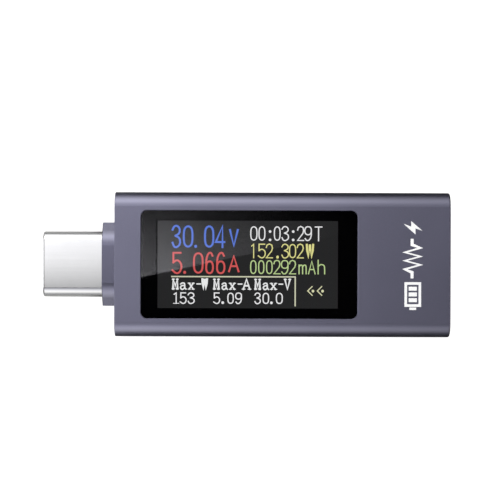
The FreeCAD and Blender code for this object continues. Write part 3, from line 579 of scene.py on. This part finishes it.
PEAKS = [
    ("1", 14.6, 18.0, 65.5, 76.1), ("5", 20.0, 26.1, 65.5, 76.1), ("3", 27.0, 33.3, 65.5, 76.1),
    ("5", 49.7, 55.8, 65.5, 76.1), (".", 56.9, 59.4, 73.6, 76.1), ("0", 62.2, 68.0, 65.5, 76.1),
    ("9", 69.1, 75.2, 65.5, 76.1),
    ("3", 86.2, 91.9, 65.5, 76.1), ("0", 93.4, 99.3, 65.5, 76.1), (".", 100.1, 102.5, 73.6, 76.1),
    ("0", 105.2, 111.4, 65.5, 76.1)]
ARROWS = [
    ("<", 133.0, 137.8, 59.4, 68.3), (".", 136.9, 139.3, 62.7, 65.3),
    ("<", 141.5, 146.3, 59.4, 68.3), (".", 145.4, 147.8, 62.7, 65.3)]

LABEL_WEIGHTS = {"M": 1.95, "W": 1.85, "V": 1.55, "A": 1.5, "a": 1.25, "x": 1.25, "-": 1.2}
# name, row, stroke weight, weights of single letters, with serifs, colour
READOUTS = [
    ("volts", VOLTS, 1.72, {"V": 1.90}, False, (0.095, 0.185, 0.68)),
    ("amps", AMPS, 1.64, {"A": 1.72}, False, (0.64, 0.098, 0.096)),
    ("time", TIME, 1.04, {}, False, (0.82, 0.81, 0.82)),
    ("power", POWER, 1.02, {"W": 1.75}, False, (0.74, 0.70, 0.27)),
    ("charge", CHARGE, 1.03, {}, False, (0.49, 0.63, 0.28)),
    ("labels", LABELS, 1.24, LABEL_WEIGHTS, True, (0.82, 0.82, 0.82)),
    ("peaks", PEAKS, 1.02, {}, True, (0.84, 0.83, 0.84)),
    ("arrows", ARROWS, 0.86, {}, False, (0.72, 0.71, 0.44)),
]
# The thin rule between the readings and the peak values, in display dots.
RULE = [(12.9, 51.1), (122.35, 51.1), (122.35, 77.4)]
RULE_WEIGHT = 1.15


def draw_point(bm, x, y, radius_x, radius_y):
    turns = [2 * math.pi * i / 14 for i in range(14)]
    outline = [(x + radius_x * math.cos(turn), y + radius_y * math.sin(turn)) for turn in turns]
    prism(bm, outline, screen, POINT_LOW, POINT_HIGH)


def draw_row(bm, row, weight, letter_weights, serifs):
    layers = count(1)

    def stroke(line, width, closed=False):
        high = STROKE_HIGH + LAYER_STEP * (next(layers) % 5)
        ribbon(bm, line, width, screen, STROKE_LOW, high, closed)

    for character, left, right, top, bottom in row:
        middle, radius = (left + right) / 2, (right - left) / 2
        if character == ".":
            draw_point(bm, middle, (top + bottom) / 2, radius, (bottom - top) / 2)
            continue
        if character == ":":
            draw_point(bm, middle, top + radius, radius, radius)
            draw_point(bm, middle, bottom - radius, radius, radius)
            continue
        width = letter_weights.get(character, weight)

        def in_box(point):
            """Unit box to display dots, keeping the stroke inside the character's box."""
            return Vector((left + width / 2 + (right - left - width) * point[0],
                           bottom - width / 2 - (bottom - top - width) * point[1]))

        for points, closed, rounds in GLYPHS[character]:
            stroke([in_box(point) for point in smooth_line(points, closed, rounds)],
                   width, closed)
        if serifs:
            for start, end, height in SERIFS.get(character, []):
                stroke([in_box((start, height)), in_box((end, height))], width * SERIF_WEIGHT)


def build_backlight():
    """The lit background, a thin gridded slab below the strokes."""
    columns, rows = 32, 16
    left, width = 0.35, 159.75          # display dots
    bm = bmesh.new()
    grid = [[bm.verts.new(screen(left + width * i / columns, DOTS_Y * j / rows, BACKLIGHT_HIGH))
             for i in range(columns + 1)] for j in range(rows + 1)]
    for j in range(rows):
        for i in range(columns):
            bm.faces.new((grid[j][i], grid[j][i + 1], grid[j + 1][i + 1], grid[j + 1][i]))
    extruded = bmesh.ops.extrude_face_region(bm, geom=bm.faces[:])
    for item in extruded["geom"]:
        if isinstance(item, bmesh.types.BMVert):
            item.co.z = (SCREEN_Z + BACKLIGHT_LOW) * MM
    new_piece("display_pixels", bm, backlit_panel("display_pixels"))


def build_display():
    for label, row, weight, letter_weights, serifs, colour in READOUTS:
        name = "readout_" + label
        bm = bmesh.new()
        draw_row(bm, row, weight, letter_weights, serifs)
        new_piece(name, bm, lit_ink(name, colour))
    bm = bmesh.new()
    ribbon(bm, [Vector(point) for point in RULE], RULE_WEIGHT, screen, STROKE_LOW, STROKE_HIGH)
    new_piece("readout_rule", bm, lit_ink("readout_rule", (0.62, 0.62, 0.45)))
    build_backlight()


build_display()


# ------------------------------------------------------------------ printed symbols on the face
# The row runs towards -Y. Its points are (along the row, up towards +X), enlarged by
# SYMBOL_SCALE; stroke widths and heights are in mm.
ROW_X, ROW_START_Y = 16.12, 5.55        # middle of the row, and where it starts
SYMBOL_SCALE = 1.0124
PRINT_LOW, PRINT_HIGH = -0.001, 0.010
FILL_HIGH = 0.0105
_, sleeve_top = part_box("body_sleeve")
FACE_Z = sleeve_top.z / MM

BOLT = [(1.28, 1.16), (0.10, -0.22), (0.78, -0.22), (0.42, -1.16), (1.72, 0.30), (0.98, 0.30)]
PULSE = [(2.45, -0.10), (3.00, -0.10), (3.38, 0.92), (3.92, -0.98), (4.42, 0.92),
         (4.94, -0.98), (5.44, 0.92), (5.98, -0.98), (6.36, -0.10), (6.92, -0.10)]


def face(x, y, height):
    return Vector((x * MM, y * MM, (FACE_Z + height) * MM))


def symbol_line(points):
    return [Vector((ROW_X + up * SYMBOL_SCALE, ROW_START_Y - along * SYMBOL_SCALE))
            for along, up in points]


def bar(start, end, half_height):
    return [(start, half_height), (start, -half_height), (end, -half_height), (end, half_height)]


def build_face_symbols():
    bm = bmesh.new()

    def fill(points):
        prism(bm, symbol_line(points), face, PRINT_LOW, FILL_HIGH)

    fill(BOLT)
    ribbon(bm, symbol_line(PULSE), 0.37, face, PRINT_LOW, PRINT_HIGH + LAYER_STEP)
    # a battery: outline, terminal and three level bars
    ribbon(bm, symbol_line(bar(7.72, 10.42, 0.86)), 0.32, face, PRINT_LOW,
           PRINT_HIGH + 2 * LAYER_STEP, closed=True)
    fill(bar(10.66, 10.96, 0.42))
    for k in range(3):
        fill(bar(8.12 + 0.70 * k, 8.60 + 0.70 * k, 0.50))
    new_piece("face_symbols", bm, glowing_white_print)


# painted light: the white print gets a faint glow (emission 0.40) so that it reads brighter than
# its lighting makes it
glowing_white_print = moulded("glowing_white_print", base=(0.90, 0.90, 0.95), roughness=0.5,
                      texture_scale=3000.0, bump=0.1,
                      Emission_Color=(0.97, 0.98, 1.0), Emission_Strength=0.40)
build_face_symbols()


# ------------------------------------------------------------------ floor and light cards
CENTRE_Z = 0.0085               # axis of the light tent, m
TENT_RADIUS = 0.300
TENT_HALF_LENGTH = 700          # mm

# The floor, and its opening below the sleeve that lets light reach the underside (half sizes, m).
FLOOR_HALF = 1.5
OPENING_HALF_X, OPENING_HALF_Y = 0.0207, 0.0089
FLOOR_Z = -0.00005
# Floor brightness as the product sees it: (share of the way from x -40 to 30 mm, grey)
FLOOR_SHADES = [(0.0, 0.58), (0.205, 0.56), (0.245, 0.15), (0.40, 0.11), (0.60, 0.088),
                (1.0, 0.085)]

# Round the long axis: (degrees from straight up, + towards +Y; brightness; blue share)
TENT_ROUND = [
    (-89, 0.349, 1.00), (-80, 0.490, 0.94), (-70, 0.718, 0.90), (-60, 0.924, 0.91),
    (-50, 0.998, 0.93), (-40, 0.855, 0.95), (-30, 0.630, 0.97), (-22, 0.506, 0.99),
    (-15, 0.291, 1.00), (-10, 0.175, 1.00), (-6, 0.099, 1.00), (-3, 0.080, 1.00),
    (-1.6, 0.060, 1.00), (-1.15, 0.280, 0.99), (-0.7, 0.470, 0.99), (0, 0.545, 0.99),
    (3, 0.744, 1.02), (6, 0.667, 1.03), (10, 0.589, 1.02), (15, 0.620, 0.99),
    (22, 0.757, 0.96), (30, 0.997, 0.95), (40, 1.354, 0.94), (50, 1.423, 0.93),
    (60, 1.187, 0.92), (70, 0.844, 0.92), (80, 0.659, 0.94), (89, 0.658, 1.00)]
# Along the long axis: (x in mm, brightness)
TENT_ALONG = [
    (-700, 0.600), (-350, 0.600), (-180, 0.800), (-110, 2.250), (-70, 1.890), (-40, 1.570),
    (-15, 1.290), (10, 1.030), (35, 0.760), (60, 0.488), (90, 0.255), (130, 0.150),
    (200, 0.450), (350, 0.700), (700, 0.900)]
# Brightness that a full ramp stands for in each tent table.
ROUND_TOP, ALONG_TOP = 2.5, 2.4

# Glare card over the glass: (x in mm, brightness)
GLARE_ALONG = [
    (-48.93, 1.30), (-37.83, 1.16), (-35.91, 1.0), (-29.67, 0.95), (-22.77, 0.68),
    (-19.59, 0.55), (-16.47, 0.45), (-5.79, 0.29), (-0.81, 0.20), (11.73, 0.07), (25.89, 0.0)]
GLARE_TOP = 1.4                 # brightness of a full ramp
GLARE_GAIN = 25.0               # light strength for a brightness of 1
# Corners in mm; the edge nearest -Y is slanted.
GLARE_CORNERS = [(-57.93, -8.325), (27.27, 10.206), (27.27, 28.8), (-57.93, 28.8)]
GLARE_Z = CENTRE_Z + TENT_RADIUS - 0.004


def floor_material():
    """Near white to the camera, and a dark graded reflector to everything else."""
    mat = new_material("floor")
    geometry = mat.node("NewGeometry")
    seen = mat.output("AddShader", mat.output("BsdfDiffuse", Color=(0.86, 0.86, 0.86)),
                      mat.output("Emission", Strength=0.80))
    x = mat.split(geometry.outputs["Position"])[0]
    shade = mat.ramp(mat.remap(x, span=(-0.040, 0.030)), FLOOR_SHADES)
    reflector = mat.output("BsdfDiffuse", Color=shade)
    is_camera = mat.node("LightPath").outputs["Is Camera Ray"]
    return mat.finish(mat.front_only(geometry, mat.output("MixShader", is_camera,
                                                          reflector, seen)))


def tent_material():
    mat = new_material("light_tent")
    geometry = mat.node("NewGeometry")
    x, y, z = mat.split(geometry.outputs["Position"])
    angle = mat.math("ARCTAN2", y, mat.math("SUBTRACT", z, CENTRE_Z))
    round_axis = mat.ramp(
        mat.remap(angle, span=(-math.pi / 2, math.pi / 2)),
        [((degrees + 90) / 180.0, (level / ROUND_TOP, level / ROUND_TOP, level * blue / ROUND_TOP))
         for degrees, level, blue in TENT_ROUND])
    along_axis = mat.ramp(
        mat.remap(x, span=(-TENT_HALF_LENGTH * MM, TENT_HALF_LENGTH * MM)),
        [((place + TENT_HALF_LENGTH) / (2 * TENT_HALF_LENGTH), level / ALONG_TOP)
         for place, level in TENT_ALONG])
    strength = mat.math("MULTIPLY", along_axis, ROUND_TOP * ALONG_TOP)
    light = mat.output("Emission", Color=round_axis, Strength=strength)
    return mat.finish(mat.front_only(geometry, light))


def under_card_material():
    """Brightens towards +Y and towards -X."""
    mat = new_material("under_card")
    geometry = mat.node("NewGeometry")
    x, y, _ = mat.split(geometry.outputs["Position"])
    across = mat.remap(y, span=(-0.5, 0.5), to=(0.75, 1.15))
    along = mat.remap(x, span=(-0.6, 0.6), to=(1.15, 0.75))
    level = 0.42
    strength = mat.math("MULTIPLY", mat.math("MULTIPLY", across, along), level)
    return mat.finish(mat.front_only(geometry, mat.output("Emission", Strength=strength)))


def end_card_material(name, level):
    """Brightens upwards from the floor."""
    mat = new_material(name)
    geometry = mat.node("NewGeometry")
    z = mat.split(geometry.outputs["Position"])[2]
    rise = mat.remap(z, span=(0.0, 0.16), to=(0.35, 1.0))
    light = mat.output("Emission", Strength=mat.math("MULTIPLY", rise, level))
    return mat.finish(mat.front_only(geometry, light))


def glare_material():
    """Fades towards +X and +Y; clear to light from behind."""
    mat = new_material("glare_card")
    x, y, _ = mat.split(mat.node("NewGeometry").outputs["Position"])
    start, end = GLARE_ALONG[0][0], GLARE_ALONG[-1][0]
    along = mat.ramp(mat.remap(x, span=(start * MM, end * MM)),
                     [((place - start) / (end - start), level / GLARE_TOP)
                      for place, level in GLARE_ALONG])
    across = mat.remap(y, span=(-0.0036, 0.0198), to=(0.0695, 0.0110))
    strength = mat.math("MULTIPLY", mat.math("MULTIPLY", along, across),
                        GLARE_TOP * GLARE_GAIN)
    light = mat.output("Emission", Color=(1.0, 0.975, 1.03), Strength=strength)
    return mat.finish(mat.output("AddShader", light, mat.output("BsdfTransparent")))


def glass_light_material():
    """Soft light that fades out towards the zenith."""
    mat = new_material("glass_light")
    position = mat.node("NewGeometry").outputs["Position"]
    display_centre = (-0.004, 0.0, CENTRE_Z)
    away = mat.output("VectorMath", position, display_centre,
                      settings={"operation": "SUBTRACT"})
    direction = mat.output("VectorMath", away, settings={"operation": "NORMALIZE"})
    strength = mat.remap(mat.split(direction)[2], span=(0.88, 0.60), to=(0.0, 0.85))
    return mat.finish(mat.output("AddShader", mat.output("Emission", Strength=strength),
                                 mat.output("BsdfTransparent")))


def stage_mesh(name, verts, faces, material, seen=False):
    mesh = bpy.data.meshes.new(name)
    mesh.from_pydata(verts, [], faces)
    mesh.materials.append(material)
    card = bpy.data.objects.new(name, mesh)
    scene.collection.objects.link(card)
    card.visible_camera = seen
    return card


def rectangle(half_x, half_y, z):
    return [(-half_x, -half_y, z), (half_x, -half_y, z), (half_x, half_y, z), (-half_x, half_y, z)]


def arc(radius, segments):
    """y, z points over the product from the -Y side to the +Y side, 88 degrees each way."""
    angles = [math.radians(-88 + 176 * i / segments) for i in range(segments + 1)]
    return [(radius * math.sin(angle), CENTRE_Z + radius * math.cos(angle)) for angle in angles]


def arched_card(name, half_length, radius, segments, material):
    """A half tunnel along X, its normals outwards."""
    verts = [(x, y, z) for y, z in arc(radius, segments) for x in (-half_length, half_length)]
    faces = [(2 * i, 2 * i + 1, 2 * i + 3, 2 * i + 2) for i in range(segments)]
    return stage_mesh(name, verts, faces, material)


def end_card(name, x, level):
    """Closes one end of the tent, lit side inwards."""
    ring = [(x, y, z) for y, z in arc(TENT_RADIUS, segments=22)]
    card = stage_mesh(name, ring, [tuple(range(len(ring)))], end_card_material(name, level))
    # the ring's normal points to -X, which is outwards at the -X end
    if x < 0:
        card.data.flip_normals()
    return card


stage_mesh("floor",
           rectangle(FLOOR_HALF, FLOOR_HALF, FLOOR_Z)
           + rectangle(OPENING_HALF_X, OPENING_HALF_Y, FLOOR_Z),
           [(i, (i + 1) % 4, 4 + (i + 1) % 4, 4 + i) for i in range(4)],
           floor_material(), seen=True)
tent = arched_card("light_tent", TENT_HALF_LENGTH * MM, TENT_RADIUS, 34, tent_material())
tent.data.flip_normals()        # the lit side faces inwards
stage_mesh("under_card", rectangle(0.9, 0.9, -0.30), [(0, 1, 2, 3)], under_card_material())
end_cards = [end_card("card_plug_end", -TENT_HALF_LENGTH * MM, level=2.2),
             end_card("card_socket_end", TENT_HALF_LENGTH * MM, level=0.9)]
glare = stage_mesh("glare_card", [(x * MM, y * MM, GLARE_Z) for x, y in GLARE_CORNERS],
                   [(0, 1, 2, 3)], glare_material())
glass_light = arched_card("glass_light", half_length=0.60, radius=0.285, segments=24,
                          material=glass_light_material())


# ------------------------------------------------------------------ light linking
def receivers(name, objects):
    group = bpy.data.collections.new(name)
    for member in objects:
        group.objects.link(member)
    return group


# The tent lights everything but the glass, which has its own two cards.
glass = [NODES["display_lens"], NODES["lens_black_border"], NODES["lcd_polariser"],
         bpy.data.objects["display_pixels"]]
glass += [piece for piece in bpy.data.objects if piece.name.startswith("readout")]
not_glass = receivers("not_glass", glass)
for member in not_glass.collection_objects:
    member.light_linking.link_state = "EXCLUDE"
for card in [tent] + end_cards:
    card.light_linking.receiver_collection = not_glass
only_glass = receivers("only_glass", glass)
for card in (glare, glass_light):
    card.light_linking.receiver_collection = only_glass


# ------------------------------------------------------------------ world and camera
def build_world():
    """White to the camera, almost dark in reflections and a soft fill for the rest."""
    world = bpy.data.worlds.new("studio")
    scene.world = world
    sky = Nodes(world, output="OutputWorld")
    rays = sky.node("LightPath").outputs
    backdrop = sky.output("Background", Color=(1, 1, 1), Strength=1.0)
    reflected = sky.output("Background", Color=(0.9, 0.92, 1.0), Strength=0.03)
    fill = sky.output("Background", Color=(1, 1, 1), Strength=0.35)
    unseen = sky.output("MixShader", rays["Is Glossy Ray"], fill, reflected)
    sky.finish(sky.output("MixShader", rays["Is Camera Ray"], unseen, backdrop))


def build_camera():
    """Looks straight down, turned slightly about Z."""
    lens = bpy.data.cameras.new("camera")
    lens.sensor_width = 36.0
    lens.lens = 111.456
    lens.clip_start = 0.002
    lens.clip_end = 20.0
    lens.shift_y = 0.02922
    camera = bpy.data.objects.new("camera", lens)
    scene.collection.objects.link(camera)
    camera.location = (-4.03 * MM, 0.0, 200.0 * MM)
    camera.rotation_euler = (0.0, 0.0, math.radians(0.19))
    scene.camera = camera
    scene.view_settings.view_transform = "Standard"
    scene.view_settings.look = "None"


build_world()
build_camera()
